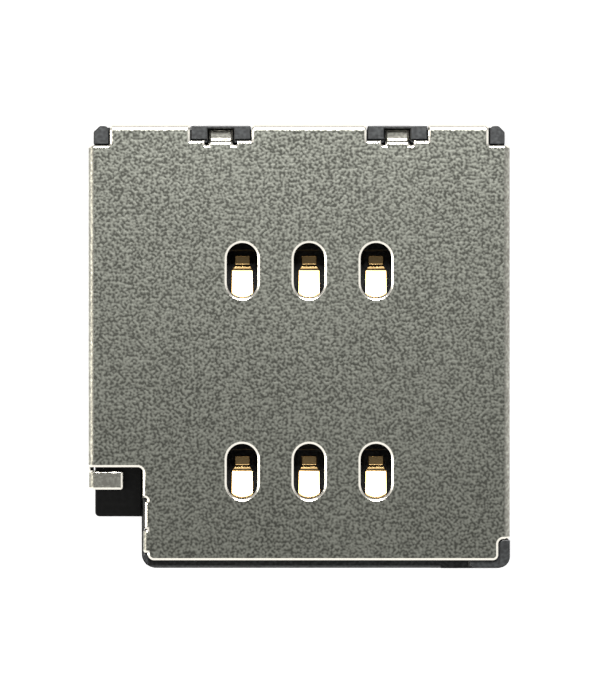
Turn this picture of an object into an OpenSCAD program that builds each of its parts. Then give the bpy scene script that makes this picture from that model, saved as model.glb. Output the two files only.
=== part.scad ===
// Micro card socket for a circuit board: folded steel shell, black moulded housing, six spring
// contacts, and a push-in, push-out slider with its heart track, pin and spring.
// The board is the plane z = 0, the card goes in along +Y, and the contact grid is centred on the origin.

/* [Body] */
// Width over the shell's side walls
body_w = 16; // [14:0.1:18]
// Length from the front lip to the shell's rear wall
body_l = 16.9; // [16.7:0.1:18]
// Height above the board
body_h = 1.45; // [1.4:0.05:1.8]
// From the shell's left face to the card, with the slider's channel between
left_side = 2.38; // [2.2:0.02:2.8]
// From the card to the shell's right face, with the right rail between
right_side = 1.62; // [1.5:0.02:2]
// From the front lip to the centre of the contact grid
grid_from_front = 7.55; // [7.5:0.05:7.9]

/* [Card] */
// Side clearance between the card and its guides
card_gap = 0.1; // [0.05:0.01:0.15]

/* [Shell] */
// Sheet thickness
shell_t = 0.15; // [0.1:0.01:0.18]
// Inside radius of the folds
fold_r = 0.1; // [0.06:0.01:0.14]
// Clearance between the shell and the housing
shell_fit = 0.05; // [0.02:0.01:0.08]
// Height of the walls' lower edge above the board
wall_lift = 0.12; // [0.08:0.01:0.2]
// Width of a solder leg
leg_w = 0.9; // [0.6:0.1:1.2]
// From the notch's rear edge to the middle of the left front leg
notch_leg_set = 2; // [1.5:0.1:3]
// From a corner cut-out to the middle of the leg next to it
leg_set = 1.5; // [1:0.1:2]
// From the middle of the grid to the middle of the right centre leg
mid_leg_y = 0.8; // [0.4:0.1:1.2]
// Width of the slots over the contacts
slot_w = 1.18; // [1:0.02:1.4]
// Length of the slots over the contacts
slot_l = 2.1; // [1.8:0.05:2.6]
// From the front lip back to the shell's front edge
front_set = 0.37; // [0.3:0.01:0.5]
// Corner radius of the cut-outs
cut_r = 0.1; // [0.05:0.01:0.12]
// Length of the two rear corner cut-outs
rear_cut_l = 0.8; // [0.7:0.05:1]
// Width of the rear left corner cut-out
left_cut_w = 0.83; // [0.75:0.01:0.9]
// Width of the rear right corner cut-out
right_cut_w = 0.82; // [0.75:0.01:1]
// Length of the front right cut-out, from the shell's front edge
front_cut_l = 0.81; // [0.7:0.01:1.2]
// Width of the front right cut-out
front_cut_w = 0.45; // [0.4:0.01:0.7]
// Rounding of the shell's corners at that cut-out
front_cut_r = 0.2; // [0.12:0.02:0.2]

/* [Rear windows] */
// From the middle of the grid to the middle of each window
window_x = 3.35; // [3:0.05:3.8]
// Width of a window
window_w = 2.36; // [2:0.02:2.6]
// Length of a window, from the rear face
window_l = 0.62; // [0.55:0.01:0.7]
// Width of the latch tab in a window
tab_w = 0.9; // [0.7:0.05:1.1]
// From the rear face forward to the tab's end
tab_set = 0.2; // [0.18:0.01:0.24]
// Drop of the tab's flat end below the plate
tab_drop = 0.35; // [0.3:0.01:0.45]
// Inside radius of the tab's two bends
tab_bend = 0.05; // [0.03:0.01:0.06]
// Width of the relief beside a tab
relief_w = 0.18; // [0.12:0.01:0.22]
// Length of the relief beside a tab
relief_l = 0.17; // [0.12:0.01:0.25]

/* [Front left notch] */
// From the front lip back to the notch's rear edge
notch_l = 3.9; // [3.6:0.05:4.1]
// From the front lip back to the front of the slider channel
channel_set = 1.98; // [1.8:0.02:2.2]
// Inner corner radius of the notch
notch_r = 0.2; // [0.1:0.05:0.3]
// Width of the hold-down tab over the slider
hold_w = 0.72; // [0.5:0.02:0.9]
// Reach of the hold-down tab from the shell's left face
hold_reach = 1.3; // [1:0.05:1.5]
// Corner radius of the hold-down tab
hold_r = 0.1; // [0.05:0.01:0.14]
// From the notch's rear edge forward to the hold-down tab
hold_gap = 0.14; // [0.1:0.01:0.3]
// From the front lip back to the folded wing
wing_set = 0.66; // [0.6:0.02:0.8]
// Length of the folded wing
wing_l = 0.86; // [0.6:0.02:1]
// Length of the relief behind the wing
wing_relief_l = 1.13; // [0.8:0.05:1.3]
// Depth of that relief
wing_relief_w = 0.08; // [0.06:0.01:0.1]
// Radius of the round end of that relief
wing_relief_r = 0.1; // [0.08:0.01:0.12]
// Inside radius of the wing's bend
wing_r = 0.02; // [0.01:0.01:0.03]
// Width of the slit behind the wing
wing_slit = 0.04; // [0.03:0.01:0.06]
// Rounding of the shell's front left corner
shell_corner_r = 0.25; // [0.15:0.05:0.25]

/* [Housing] */
// Floor thickness
floor_t = 0.25; // [0.2:0.01:0.3]
// Thickness of the wall between the card and the slider
partition_t = 0.2; // [0.18:0.01:0.25]
// Thickness of the rear wall
rear_wall_t = 0.5; // [0.45:0.01:0.6]
// Step from the front lip back to the guides and the front post
post_set = 0.08; // [0.04:0.01:0.12]
// Width of the floor's lip on the left of the card slot
side_lip = 0.1; // [0.05:0.01:0.12]
// Distance of the posts' tops below the shell's top face
post_drop = 0.06; // [0.02:0.01:0.12]
// Distance of the rear pads behind the shell's rear face
pad_set = 0.05; // [0.03:0.01:0.1]
// Chamfer of the rear corners
corner_chamfer = 0.24; // [0.1:0.02:0.3]
// Chamfer of the rear posts' inner corners
post_chamfer = 0.12; // [0.06:0.01:0.14]
// Rounding of the front left corner
front_left_r = 0.55; // [0.4:0.05:0.6]
// Rounding of the front right corner
front_right_r = 0.42; // [0.3:0.02:0.6]
// Chamfers that lead the card in
lead_in = 0.1; // [0.05:0.01:0.15]
// Thickness of the block that holds the pin's pivot
pivot_block_l = 0.95; // [0.8:0.05:1.1]
// From the front right cut-out to the middle of the front latch lug
front_lug_set = 3.2; // [2.8:0.1:3.6]
// From the rear right cut-out to the middle of the rear latch lug
rear_lug_set = 3.6; // [3.2:0.1:4]
// Length of a latch lug on the right side
lug_l = 1.2; // [0.8:0.1:1.5]
// Height of the latch lugs' undersides
lug_z = 0.45; // [0.35:0.01:0.55]
// Height of a latch lug
lug_h = 0.4; // [0.3:0.02:0.5]

/* [Contacts] */
// Sideways pitch of the contacts
contact_pitch = 2.54; // [2.3:0.02:2.6]
// Distance between the two rows
row_pitch = 7.62; // [7.5:0.02:7.7]
// Contact strip thickness
contact_t = 0.12; // [0.08:0.01:0.15]
// Height of the contact point above the board
contact_h = 1.12; // [1.02:0.02:1.16]
// Slope of the contact beam at its root
beam_slope = 34; // [31:0.5:38]
// Slope of the ramp that leads up to the contact point
ramp_slope = 5; // [3:0.5:8]
// Length of that ramp
ramp_l = 1.15; // [1:0.05:1.25]
// Width of the beam at its root
root_w = 0.92; // [0.8:0.02:1]
// Width of the beam at the contact point
point_w = 0.8; // [0.6:0.02:0.9]
// Width of the contact's tip
tip_w = 0.56; // [0.4:0.02:0.7]
// Length of the contact's flat tip
tip_l = 0.3; // [0.2:0.02:0.4]
// Length of the solder tail
tail_l = 0.75; // [0.6:0.05:0.8]
// Width of the solder tail
tail_w = 0.7; // [0.5:0.05:0.9]
// Width over the barbs that hold the tail
barb_w = 1.2; // [1:0.05:1.3]
// Clearance of the beam in its floor window
beam_gap = 0.16; // [0.1:0.01:0.2]
// Length of the floor window that the beam rises through
beam_window_l = 1.4; // [1:0.05:1.5]
// Floor left under the contact's tip, where it dips when a card is in
tip_skin = 0.1; // [0.08:0.01:0.15]

/* [Slider] */
// Full travel of the slider
travel = 3.5; // [3:0.1:3.5]
// Spring-back from full travel to the locked place
overstroke = 0.5; // [0.45:0.05:0.6]
// Side clearance of the slider
slider_gap = 0.1; // [0.06:0.01:0.12]
// Clearance below the slider
glide_gap = 0.03; // [0.02:0.01:0.05]
// Free length behind moving pieces at full travel
end_gap = 0.15; // [0.1:0.01:0.2]
// Thickness of the claw that the card pushes
claw_l = 0.5; // [0.4:0.02:0.6]
// Reach of the claw into the card slot
claw_reach = 1.1; // [0.8:0.05:1.4]
// Rounding of the slider's front left corner
slider_corner_r = 0.16; // [0.1:0.02:0.3]
// Width of the arm that carries the claw
arm_w = 0.35; // [0.3:0.01:0.4]

/* [Heart track and pin] */
// Wire diameter of the cam pin
pin_d = 0.25; // [0.2:0.01:0.28]
// Clearance above and below the pin
pin_gap = 0.04; // [0.02:0.01:0.06]
// Clearance of the pin in its track and pivot
track_gap = 0.09; // [0.06:0.01:0.12]
// Sideways reach of the heart track from its middle
heart_half = 0.5; // [0.45:0.01:0.52]
// Depth of the track's entry leg
track_depth = 0.26; // [0.22:0.01:0.3]
// Drop at each step of the track
track_step = 0.04; // [0.03:0.005:0.05]
// Distance of the track behind the notch's edge
track_set = 0.29; // [0.2:0.01:0.4]
// Bend radius of the pin's centre line
pin_bend = 0.25; // [0.2:0.01:0.3]

/* [Spring] */
// Outside diameter of the eject spring
spring_d = 0.62; // [0.5:0.01:0.64]
// Wire diameter of the eject spring
spring_wire = 0.1; // [0.07:0.01:0.12]
// Turns of the eject spring
spring_turns = 14; // [10:1:18]
// Length of the stubs that centre the spring
stub_l = 0.4; // [0.3:0.05:0.6]

/* [Card switch] */
// Strip thickness of the switch pieces
switch_t = 0.1; // [0.08:0.01:0.12]
// Strip height of the switch pieces
switch_h = 0.5; // [0.4:0.02:0.6]
// Height of the strips' lower edges above the board
switch_z = 0.45; // [0.4:0.01:0.5]
// Wall left around the switch pocket
switch_wall = 0.25; // [0.2:0.01:0.28]
// From the rear wall's inner face to the switch pocket's rear end
switch_set = 0.5; // [0.45:0.01:0.6]
// Reach of the switch's bump into the card slot
bump_reach = 0.25; // [0.2:0.01:0.3]
// Open gap between the switch pieces
switch_gap = 0.15; // [0.1:0.01:0.18]

/* [Hidden] */
$fn = 48;
SLOP = 0.02;

card_w = body_w - left_side - right_side;
left_x = -card_w / 2 - left_side;
right_x = card_w / 2 + right_side;
front_y = -grid_from_front;
rear_y = front_y + body_l;
plate_z = body_h - shell_t;
post_z = body_h - post_drop;
fold_o = fold_r + shell_t;

base_l = left_x + shell_t + shell_fit;
base_r = right_x - shell_t - shell_fit;
base_rear = rear_y - shell_t - shell_fit;
pad_rear = rear_y - pad_set;
rear_in = base_rear - rear_wall_t;
slot_half = card_w / 2 + card_gap;
part_l = -slot_half - partition_t;
channel_front = front_y + channel_set;
guide_front = front_y + post_set;

shell_front = front_y + front_set;
notch_y = front_y + notch_l;
rear_cut_y = rear_y - rear_cut_l;
left_cut_x = left_x + left_cut_w;
right_cut_x = right_x - right_cut_w;
front_cut_x = right_x - front_cut_w;
front_cut_y = shell_front + front_cut_l;
window_y = rear_y - window_l;
tab_end = rear_y - tab_set;
tab_root = window_y - relief_l;
tab_slope = 75;
tab_steep_l = (tab_drop - (2 * tab_bend + shell_t) * (1 - cos(tab_slope))) / sin(tab_slope);
tab_run = (2 * tab_bend + shell_t) * sin(tab_slope) + tab_steep_l * cos(tab_slope);
window_in = window_x - window_w / 2;
window_out = window_x + window_w / 2;
rear_spans = [[left_cut_x, -window_out], [-window_in, window_in], [window_out, right_cut_x]];
rear_lifts = [wall_lift, 0, wall_lift];
wing_y0 = front_y + wing_set;
wing_y1 = wing_y0 + wing_l;
wing_in = part_l + shell_t + wing_r;
wing_cut_y = wing_y1 + wing_relief_l;
hold_y1 = notch_y - hold_gap;
hold_y0 = hold_y1 - hold_w;
left_leg_ys = [notch_y + notch_leg_set, rear_cut_y - leg_set];
right_leg_ys = [front_cut_y + leg_set, mid_leg_y, rear_cut_y - leg_set];
lug_ys = [front_cut_y + front_lug_set, rear_cut_y - rear_lug_set];

slider_l = left_x + shell_t + slider_gap;
slider_r = part_l - slider_gap;
slider_z0 = floor_t + glide_gap;
slider_z1 = plate_z - pin_d - 2 * pin_gap;
slider_front = channel_front + glide_gap;
channel_x = (slider_l + slider_r) / 2;
claw_y1 = rear_in - end_gap - travel;
claw_y0 = claw_y1 - claw_l;
claw_tip_x = -slot_half + claw_reach - claw_l / 2;
arm_l = slider_r - arm_w;
block_front = base_rear - pivot_block_l;
slider_rear = block_front - end_gap - travel;
partition_rear = claw_y0 - slider_gap / 2;

track_w = pin_d + track_gap;
tip_y = notch_y + track_set + track_w / 2 + travel;
pivot_y = base_rear - pivot_block_l / 2;
pin_z = plate_z - pin_gap - pin_d / 2;
tip_z = slider_z1 - track_depth + pin_gap;
pivot_z = floor_t + 2 * pin_gap;
heart_start = [channel_x, tip_y];
heart_push = [channel_x + heart_half, tip_y - travel];
heart_lock = [channel_x, tip_y - travel + overstroke];
heart_release = [channel_x - heart_half, tip_y - travel];

pocket_web = 0.5;
pocket_y = tip_y + track_w / 2 + pocket_web;
pocket_w = spring_d + 2 * pin_gap;
spring_z = (slider_z0 + slider_z1) / 2;
stub_d = spring_d - 2 * spring_wire - 2 * pin_gap;

contact_bend = 0.25;
ramp_bend = 0.4;
point_bend = 0.15;
point_drop = 42;
tip_tilt = 10;
tip_bend = 0.1;
steep_l = 0.06;
beam_l = (contact_h - contact_t - (contact_bend + contact_t) * (1 - cos(beam_slope))
    - ramp_bend * (cos(ramp_slope) - cos(beam_slope)) - ramp_l * sin(ramp_slope)
    - point_bend * (1 - cos(ramp_slope))) / sin(beam_slope);
beam_run = (contact_bend + contact_t) * sin(beam_slope) + beam_l * cos(beam_slope)
    + ramp_bend * (sin(beam_slope) - sin(ramp_slope)) + ramp_l * cos(ramp_slope)
    + point_bend * sin(ramp_slope);
tip_run = (point_bend + contact_t) * sin(point_drop) + steep_l * cos(point_drop)
    + (tip_bend + contact_t) * (sin(point_drop) - sin(tip_tilt)) + tip_l;
contact_window_w = root_w + 2 * beam_gap;
contact_window_front = -beam_run - contact_t / 2;
contact_window_rear = contact_window_front + beam_window_l;
tip_dip_rear = tip_run + beam_gap;
barb_l = 0.3;
barb_set = 0.15;

switch_hold_l = 0.3;
switch_slope = 8;
switch_arm_l = 3.2;
switch_bend = 0.15;
bump_slope = 38;
bump_l = 0.6;
bump_end_l = 0.5;
bump_room = 1.5;
arm_run = switch_arm_l * cos(switch_slope) + (switch_bend + switch_t) * sin(bump_slope);
arm_rise = switch_arm_l * sin(switch_slope) + (switch_bend + switch_t) * (1 - cos(bump_slope));
bump_run = bump_l * cos(bump_slope) + switch_bend * sin(bump_slope);
bump_rise = bump_l * sin(bump_slope) + switch_bend * (1 - cos(bump_slope));
switch_run = switch_hold_l + arm_run + 2 * bump_run + (switch_bend + switch_t) * sin(bump_slope) + bump_end_l;
switch_y1 = rear_in - switch_set;
switch_y0 = switch_y1 - switch_run - beam_gap;
switch_x0 = slot_half + switch_wall;
switch_x1 = base_r - switch_wall;
switch_root_x = slot_half - bump_reach + arm_rise + bump_rise + switch_t;
bump_y = switch_y0 + switch_hold_l + arm_run + bump_run;
terminal_x = switch_root_x - switch_arm_l * sin(switch_slope) + switch_gap;
switch_steps = [[2 * switch_hold_l, switch_slope, switch_bend],
                [switch_arm_l, bump_slope - switch_slope, switch_bend],
                [bump_l, -2 * bump_slope, switch_bend],
                [bump_l, bump_slope, switch_bend],
                [bump_end_l, 0, 0]];

CONTACTS = [["contact_c1", -1, 1], ["contact_c2", 0, 1], ["contact_c3", 1, 1],
            ["contact_c5", -1, -1], ["contact_c6", 0, -1], ["contact_c7", 1, -1]];

// Flat rectangle between two corners
module rect(x0, y0, x1, y1) {
    translate([x0, y0]) square([x1 - x0, y1 - y0]);
}

// Flat rectangle between two corners, with rounded corners
module round_rect(x0, y0, x1, y1, r) {
    rect(x0 + r, y0, x1 - r, y1);
    rect(x0, y0 + r, x1, y1 - r);
    for (x = [x0 + r, x1 - r], y = [y0 + r, y1 - r]) translate([x, y]) circle(r);
}

// Flat slot with round ends, from one point to another
module obround(from, to, w) {
    run = to - from;
    translate(from) rotate(atan2(run[1], run[0])) {
        translate([0, -w / 2]) square([norm(run), w]);
        circle(d = w);
        translate([norm(run), 0]) circle(d = w);
    }
}

// What a rounding of radius r takes off a corner whose sides run along +X and +Y
module corner_waste(r) {
    difference() {
        translate([-SLOP, -SLOP]) square(r + SLOP);
        translate([r, r]) circle(r);
    }
}

// Box between two corners
module block(from, to) {
    translate(from) cube(to - from);
}

// Sector of a ring, from angle a0 to angle a1
module arc_band(r_in, r_out, a0, a1) {
    reach = 2 * r_out;
    mid = (a0 + a1) / 2;
    difference() {
        intersection() {
            circle(r_out);
            polygon([[0, 0], reach * [cos(a0), sin(a0)], reach * [cos(mid), sin(mid)],
                     reach * [cos(a1), sin(a1)]]);
        }
        circle(r_in);
    }
}

// Side view of a bent strip: each step is [flat length, bend angle, inside radius], left is positive
module strip(steps, t, i = 0) {
    if (i < len(steps)) {
        flat = steps[i][0];
        turn = steps[i][1];
        r = steps[i][2];
        square([flat, t]);
        if (i + 1 < len(steps)) translate([flat, turn > 0 ? t + r : -r]) {
            if (turn > 0) arc_band(r, r + t, -90, turn - 90);
            else arc_band(r, r + t, 90 + turn, 90);
            rotate(turn) translate([0, turn > 0 ? -t - r : r]) strip(steps, t, i + 1);
        }
    }
}

// Lets a flat side view stand on the YZ plane, with its depth along +X
module along_x(depth) {
    rotate([90, 0, 90]) linear_extrude(depth) children();
}

// Lets a flat side view stand on the XZ plane, with its depth along +Y
module along_y(depth) {
    translate([0, depth, 0]) rotate([90, 0, 0]) linear_extrude(depth) children();
}

// Side view of a fold and its wall: the outer corner is the origin, the plate lies to the right
module fold_view(drop, r = fold_r) {
    outer = r + shell_t;
    translate([outer, -outer]) arc_band(r, outer, 90, 180);
    translate([0, -drop]) square([shell_t, drop - outer]);
}

// Outline of the housing, with its front and left edges at the given places
module base_outline(front, left) {
    difference() {
        union() {
            rect(left, front, base_r, base_rear);
            rect(base_l, channel_front, left + SLOP, base_rear);
            front_post_outline(front);
            rear_pads_outline();
        }
        translate([left, front]) corner_waste(front_left_r);
        translate([base_l, channel_front]) corner_waste(slider_corner_r);
        translate([right_x, front]) mirror([1, 0]) corner_waste(front_right_r);
        for (side = [[base_l, 0], [base_r, 1]])
            translate([side[0], pad_rear]) mirror([side[1], 0])
                rotate(-45) square(corner_chamfer * sqrt(2), center = true);
    }
}

// Outline of the post that fills the shell's front right cut-out
module front_post_outline(front) {
    difference() {
        rect(front_cut_x + shell_fit, front, right_x, front_cut_y - shell_fit);
        translate([front_cut_x + shell_fit, front_cut_y - shell_fit])
            mirror([0, 1]) corner_waste(front_cut_r - shell_fit);
    }
}

// Outlines of the corner posts and window pads at the rear
module rear_pads_outline() {
    rect(base_l, rear_cut_y + shell_fit, left_cut_x - shell_fit, pad_rear);
    rect(right_cut_x + shell_fit, rear_cut_y + shell_fit, base_r, pad_rear);
    for (side = [-1, 1])
        rect(side * window_x - window_w / 2 + shell_fit, window_y + shell_fit,
             side * window_x + window_w / 2 - shell_fit, pad_rear);
}

// What a contact needs in the floor: a recess below for its tail and barbs, a window for its beam to
// rise through, and a dip above for its tip
module contact_room() {
    half = contact_window_w / 2;
    tail_end = -beam_run - tail_l;
    barb_end = -beam_run - barb_set;
    translate([0, 0, -SLOP]) linear_extrude(contact_t + SLOP) {
        rect(-tail_w / 2 - SLOP, tail_end - SLOP, tail_w / 2 + SLOP, barb_end);
        rect(-barb_w / 2 - SLOP, barb_end - barb_l - SLOP, barb_w / 2 + SLOP, barb_end + SLOP);
        rect(-root_w / 2 - SLOP, barb_end, root_w / 2 + SLOP, contact_window_front + SLOP);
    }
    translate([0, 0, -SLOP]) linear_extrude(body_h)
        round_rect(-half, contact_window_front, half, contact_window_rear, beam_gap);
    block([-half, contact_window_rear - beam_gap, tip_skin], [half, tip_dip_rear, body_h]);
}

// Pocket for a shell tab: open at the top and front, with a thin wall behind
module tab_pocket() {
    block([-tab_w / 2 - shell_fit, rear_in - SLOP, plate_z - tab_drop - shell_fit],
          [tab_w / 2 + shell_fit, tab_end + shell_fit, body_h]);
}

// Bevels on the housing's top edges that leave room for the inside of the shell's folds
module fold_relief() {
    translate([base_r, front_cut_y - shell_fit, plate_z])
        along_y(rear_cut_y - front_cut_y + 2 * shell_fit) relief_view();
    for (span = rear_spans) translate([span[0] - shell_fit, base_rear, plate_z])
        along_x(span[1] - span[0] + 2 * shell_fit) relief_view();
}

module relief_view() {
    polygon([[-fold_r, 0], [0, -fold_r], [SLOP, -fold_r], [SLOP, SLOP], [-fold_r, SLOP]]);
}

// Latch lugs on the right side, with a slope on top so that the shell snaps over them
module latch_lugs() {
    reach = shell_fit + shell_t;
    for (y = lug_ys) translate([base_r, y - lug_l / 2, lug_z])
        along_y(lug_l) polygon([[-SLOP, 0], [reach, 0], [reach, lug_h / 3], [0, lug_h], [-SLOP, lug_h]]);
}

// Slits and pocket for the switch pieces in the right rail
module switch_room() {
    spring_x = switch_root_x - switch_t;
    block([switch_x0, switch_y0, floor_t], [switch_x1, switch_y1, body_h]);
    block([slot_half - SLOP, bump_y - bump_room, floor_t], [switch_x0 + SLOP, switch_y1, body_h]);
    block([spring_x - SLOP, switch_y0 - switch_hold_l, -SLOP],
          [switch_root_x + SLOP, switch_y0 + SLOP, body_h]);
    block([terminal_x - SLOP, switch_y1 - SLOP, -SLOP],
          [terminal_x + switch_t + SLOP, switch_y1 + switch_hold_l, body_h]);
}

// Black moulded housing
module housing() {
    color("#1b1b1d") difference() {
        union() {
            linear_extrude(floor_t) base_outline(front_y, part_l - side_lip);
            linear_extrude(plate_z) intersection() {
                base_outline(guide_front, part_l);
                union() {
                    rect(part_l, guide_front, -slot_half, partition_rear);
                    rect(slot_half, guide_front, base_r, base_rear);
                    rect(arm_l - slider_gap, rear_in, slot_half + SLOP, base_rear);
                }
            }
            linear_extrude(slider_z1) rect(base_l, block_front, arm_l - slider_gap, base_rear);
            linear_extrude(post_z) difference() {
                intersection() {
                    base_outline(guide_front, part_l);
                    union() {
                        front_post_outline(guide_front);
                        rear_pads_outline();
                    }
                }
                for (x = [left_cut_x - shell_fit, right_cut_x + shell_fit])
                    translate([x, pad_rear]) rotate(45) square(post_chamfer * sqrt(2), center = true);
            }
            latch_lugs();
            translate([channel_x, block_front, spring_z]) rotate([90, 0, 0])
                cylinder(d = stub_d, h = stub_l);
        }
        for (c = CONTACTS) translate([c[1] * contact_pitch, c[2] * row_pitch / 2, 0]) contact_room();
        for (side = [-1, 1]) translate([side * window_x, 0, 0]) tab_pocket();
        block([part_l - SLOP, wing_y0 - shell_fit, -SLOP],
              [part_l + fold_o, wing_y1 + shell_fit, body_h]);
        translate([channel_x, pivot_y, pivot_z]) cylinder(d = track_w, h = body_h);
        switch_room();
        fold_relief();
        mouth_chamfers();
    }
}

// Chamfers on the floor's front edge and on the right guide; the left guide is round there
module mouth_chamfers() {
    translate([part_l, front_y, floor_t]) rotate([45, 0, 0])
        block([0, -lead_in, -lead_in], [body_w, lead_in, lead_in] / sqrt(2));
    translate([slot_half, guide_front, floor_t + lead_in])
        linear_extrude(body_h) rotate(45) square(2 * lead_in, center = true);
}

// Flat part of the shell, inside the folds
module plate_outline() {
    difference() {
        rect(left_x + fold_o, shell_front, right_x - fold_o, rear_y - fold_o);
        round_rect(left_x - fold_o, front_y - fold_o, part_l, notch_y, notch_r);
        rect(part_l - fold_o, front_y, wing_in, wing_y1 + wing_slit);
        rect(part_l - fold_o, wing_y1, part_l + wing_relief_w, wing_cut_y);
        translate([part_l + wing_relief_w - SLOP, wing_cut_y]) circle(wing_relief_r);
        rect(left_x, front_y - fold_o, part_l, notch_y - notch_r);
        translate([wing_in, shell_front]) corner_waste(shell_corner_r);
        round_rect(left_x - fold_o, rear_cut_y, left_cut_x, rear_y + fold_o, cut_r);
        round_rect(right_cut_x, rear_cut_y, right_x + fold_o, rear_y + fold_o, cut_r);
        round_rect(front_cut_x, front_y - fold_o, right_x + fold_o, front_cut_y, front_cut_r);
        translate([front_cut_x, shell_front]) mirror([1, 0]) corner_waste(front_cut_r);
        for (side = [-1, 1]) translate([side * window_x, 0]) window_outline();
        for (c = CONTACTS) translate([c[1] * contact_pitch, c[2] * row_pitch / 2])
            obround([0, (slot_w - slot_l) / 2], [0, (slot_l - slot_w) / 2], slot_w);
    }
}

// Rear window down to the tab's root, with a round-ended relief on each side of the tab
module window_outline() {
    relief_x = tab_w / 2 + relief_w / 2;
    rect(-window_w / 2, window_y, window_w / 2, rear_y);
    rect(-relief_x, tab_root, relief_x, window_y + SLOP);
    for (side = [-1, 1])
        obround([side * relief_x, tab_root + relief_w / 2], [side * relief_x, window_y], relief_w);
}

// Latch tab: bent down at its root and level again in its pocket
module latch_tab() {
    translate([-tab_w / 2, tab_root - relief_l, plate_z]) along_x(tab_w)
        strip([[relief_l, -tab_slope, tab_bend],
               [tab_steep_l, tab_slope, tab_bend],
               [tab_end - tab_root - tab_run, 0, 0]], shell_t);
}

// Folded wall along Y, with its outer face at x and its plate on the +X side
module side_wall(x, y0, y1, lift, r = fold_r) {
    translate([x, y0, body_h]) along_y(y1 - y0) fold_view(body_h - lift, r);
}

// Folded wall along X, with its outer face at y and its plate on the -Y side
module end_wall(x0, x1, y, lift) {
    translate([x0, y, body_h]) mirror([0, 1, 0]) along_x(x1 - x0) fold_view(body_h - lift);
}

// Left wall with its legs, and the hold-down tab on its low front end
module left_wall() {
    hold_z = slider_z1 + pin_gap + shell_t;
    side_wall(left_x, notch_y, rear_cut_y, wall_lift);
    for (y = left_leg_ys) block([left_x, y - leg_w / 2, 0], [left_x + shell_t, y + leg_w / 2, wall_lift + SLOP]);
    block([left_x, hold_y0, wall_lift], [left_x + shell_t, notch_y + SLOP, hold_z - fold_o]);
    intersection() {
        translate([left_x, hold_y0, hold_z]) along_y(hold_w) {
            fold_view(fold_o + SLOP);
            rect(fold_o, -shell_t, hold_reach, 0);
        }
        linear_extrude(body_h)
            round_rect(left_x - 2 * hold_r, hold_y0, left_x + hold_reach, hold_y1, hold_r);
    }
}

// Right wall with its legs and the windows that catch the housing's lugs
module right_wall() {
    difference() {
        union() {
            translate([right_x, 0, 0]) mirror([1, 0, 0]) side_wall(0, front_cut_y, rear_cut_y, wall_lift);
            for (y = right_leg_ys)
                block([right_x - shell_t, y - leg_w / 2, 0], [right_x, y + leg_w / 2, wall_lift + SLOP]);
        }
        for (y = lug_ys)
            block([right_x - shell_t - SLOP, y - lug_l / 2 - shell_fit, lug_z - shell_fit],
                  [right_x + SLOP, y + lug_l / 2 + shell_fit, lug_z + lug_h + shell_fit]);
    }
}

// Rear wall in three lengths between the windows
module rear_walls() {
    for (i = [0:2]) end_wall(rear_spans[i][0], rear_spans[i][1], rear_y, rear_lifts[i]);
}

// Folded steel shell
module shell() {
    color("#8d8d84") {
        translate([0, 0, plate_z]) linear_extrude(shell_t) plate_outline();
        left_wall();
        right_wall();
        rear_walls();
        for (side = [-1, 1]) translate([side * window_x, 0, 0]) latch_tab();
        side_wall(part_l, wing_y0, wing_y1, 0, wing_r);
    }
}

// Contact seen from above: tail with barbs, tapered beam, and a narrower tip past the contact point
module contact_outline() {
    half = [[tail_w / 2, -beam_run - tail_l], [tail_w / 2, -beam_run - barb_set - barb_l],
            [barb_w / 2, -beam_run - barb_set - barb_l], [barb_w / 2, -beam_run - barb_set],
            [root_w / 2, -beam_run - barb_set], [root_w / 2, -beam_run], [point_w / 2, 0],
            [tip_w / 2, point_bend + contact_t / 2], [tip_w / 2, tip_run]];
    last = len(half) - 1;
    polygon(concat(half, [for (i = [last:-1:0]) [-half[i][0], half[i][1]]]));
}

// Spring contact in its column and row
module contact(column, row) {
    color("#d9c58e") translate([column * contact_pitch, row * row_pitch / 2, 0]) intersection() {
        translate([-barb_w / 2, -beam_run - tail_l, 0]) along_x(barb_w)
            strip([[tail_l, beam_slope, contact_bend],
                   [beam_l, ramp_slope - beam_slope, ramp_bend],
                   [ramp_l, -ramp_slope - point_drop, point_bend],
                   [steep_l, point_drop - tip_tilt, tip_bend],
                   [tip_l, 0, 0]], contact_t);
        translate([0, 0, -SLOP]) linear_extrude(body_h) contact_outline();
    }
}

// Sloped cutter for the return leg of the heart track, as deep as given at each end
module return_leg(from, to, depth_from, depth_to) {
    run = to - from;
    translate([from[0], from[1], slider_z1 - depth_from])
        rotate([0, -atan2(depth_from - depth_to, norm(run)), atan2(run[1], run[0])])
            translate([0, -pin_d / 2 - pin_gap / 2, 0]) cube([norm(run), pin_d + pin_gap, body_h]);
}

// Level leg of the heart track
module level_leg(from, to, depth) {
    translate([0, 0, slider_z1 - depth]) linear_extrude(body_h) obround(from, to, track_w);
}

// Heart track: entry leg, step to the lock, step out of it, and a ramp back to the start
module heart_track() {
    level_leg(heart_start, heart_push, track_depth);
    level_leg(heart_push, heart_lock, track_depth + track_step);
    level_leg(heart_lock, heart_release, track_depth + 2 * track_step);
    return_leg(heart_release, heart_start, track_depth + 2 * track_step, track_depth - track_step);
}

// Slider: bar with the heart track and the spring's room, and an arm with the claw
module slider() {
    color("#232325") {
        difference() {
            union() {
                translate([0, 0, slider_z0]) linear_extrude(slider_z1 - slider_z0) difference() {
                    rect(slider_l, slider_front, slider_r, slider_rear);
                    translate([slider_l, slider_front]) corner_waste(slider_corner_r);
                }
                block([arm_l, slider_rear - SLOP, slider_z0], [slider_r, claw_y1, slider_z1]);
                claw();
            }
            block([channel_x - pocket_w / 2, pocket_y, slider_z0 - SLOP],
                  [channel_x + pocket_w / 2, slider_rear + SLOP, slider_z1 + SLOP]);
            heart_track();
        }
        translate([channel_x, pocket_y - SLOP, spring_z]) rotate([-90, 0, 0])
            cylinder(d = stub_d, h = stub_l);
    }
}

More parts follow.
